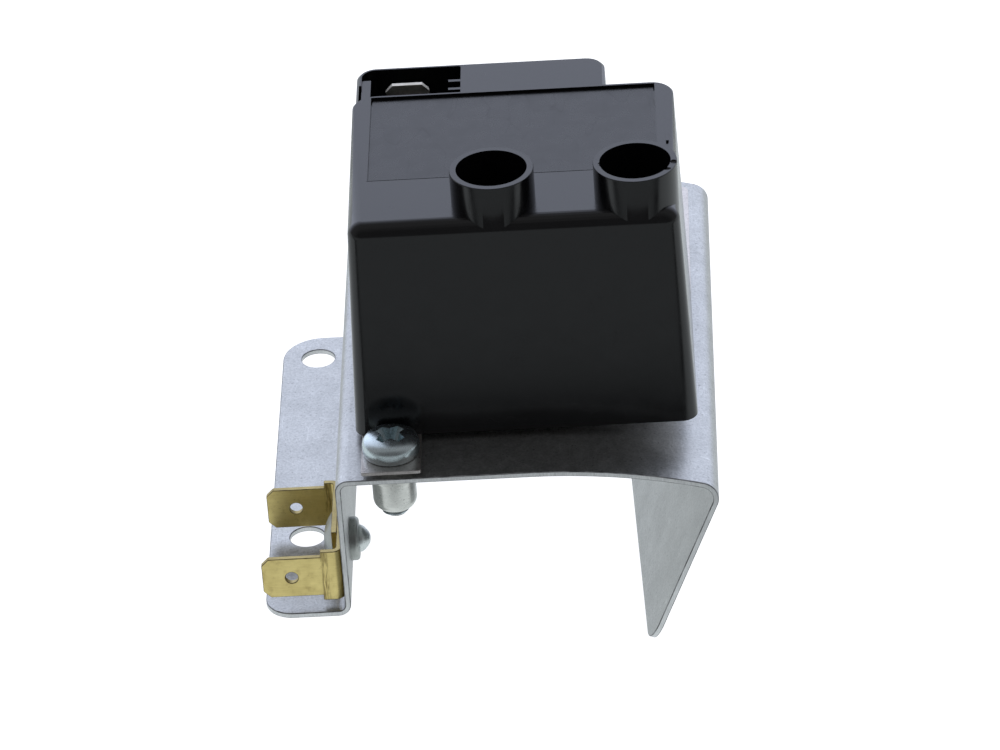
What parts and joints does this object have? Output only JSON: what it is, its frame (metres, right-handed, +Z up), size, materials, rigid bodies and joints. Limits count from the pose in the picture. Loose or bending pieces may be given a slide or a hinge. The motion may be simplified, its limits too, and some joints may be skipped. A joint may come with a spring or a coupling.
{
  "type": "spark generator",
  "caption": "Potted black high-voltage ignition unit with upright towers and a tab bay, on a bent zinc-plated sheet bracket with a foot, a leaning leg and riveted brass earth tabs.",
  "frame": {"origin": "midway between the two holes in the bracket's foot, on the foot's underside", "axes": "+Z up through the towers, +Y to the back towards the terminal bay, +X to the right, away from the foot"},
  "size_m": [0.0651, 0.0821, 0.078],
  "materials": {
    "zinc_sheet": "hot-dip galvanised sheet, fine spangle, satin",
    "mounting_sheet": "plain zinc-plated sheet, satin",
    "nut_steel": "zinc-plated steel, satin",
    "screw_steel": "bright zinc-plated steel, blueish",
    "housing_plastic": "black glass-filled moulding, semi-gloss",
    "resin": "cast potting compound, dark",
    "contact_brass": "turned brass, satin",
    "mains_tab_metal": "tinned brass, satin",
    "board": "glass-epoxy laminate",
    "bobbin_plastic": "unfilled nylon, ivory",
    "ferrite": "sintered ferrite, dull grey",
    "primary_wire": "enamelled copper wire",
    "secondary_wire": "fine enamelled copper wire",
    "capacitor_case": "epoxy-dipped box",
    "diode_case": "moulded epoxy",
    "resistor_body": "lacquered ceramic",
    "lead_sleeve": "white silicone sleeve",
    "earth_brass": "bare brass sheet, slightly dull",
    "rivet_metal": "aluminium blind rivet, satin",
    "mandrel_steel": "plain steel mandrel, broken off"
  },
  "bodies": {
    "root": {"bracket": "zinc_sheet", "mounting_plate": "mounting_sheet", "rivet_nuts": "nut_steel", "fixing_screws": "screw_steel", "housing": "housing_plastic", "potting_compound": "resin", "left_contact": "contact_brass", "right_contact": "contact_brass", "line_tab": "mains_tab_metal", "neutral_tab": "mains_tab_metal", "circuit_board": "board", "coil_bobbin": "bobbin_plastic", "ferrite_rod": "ferrite", "primary_winding": "primary_wire", "secondary_windings": "secondary_wire", "storage_capacitor": "capacitor_case", "trigger_diode": "diode_case", "rectifier_diode": "diode_case", "series_resistor": "resistor_body", "high_voltage_leads": "lead_sleeve", "front_earth_tab": "earth_brass", "rear_earth_tab": "earth_brass", "earth_rivet": "rivet_metal", "rivet_mandrel": "mandrel_steel"}
  },
  "joints": []
}
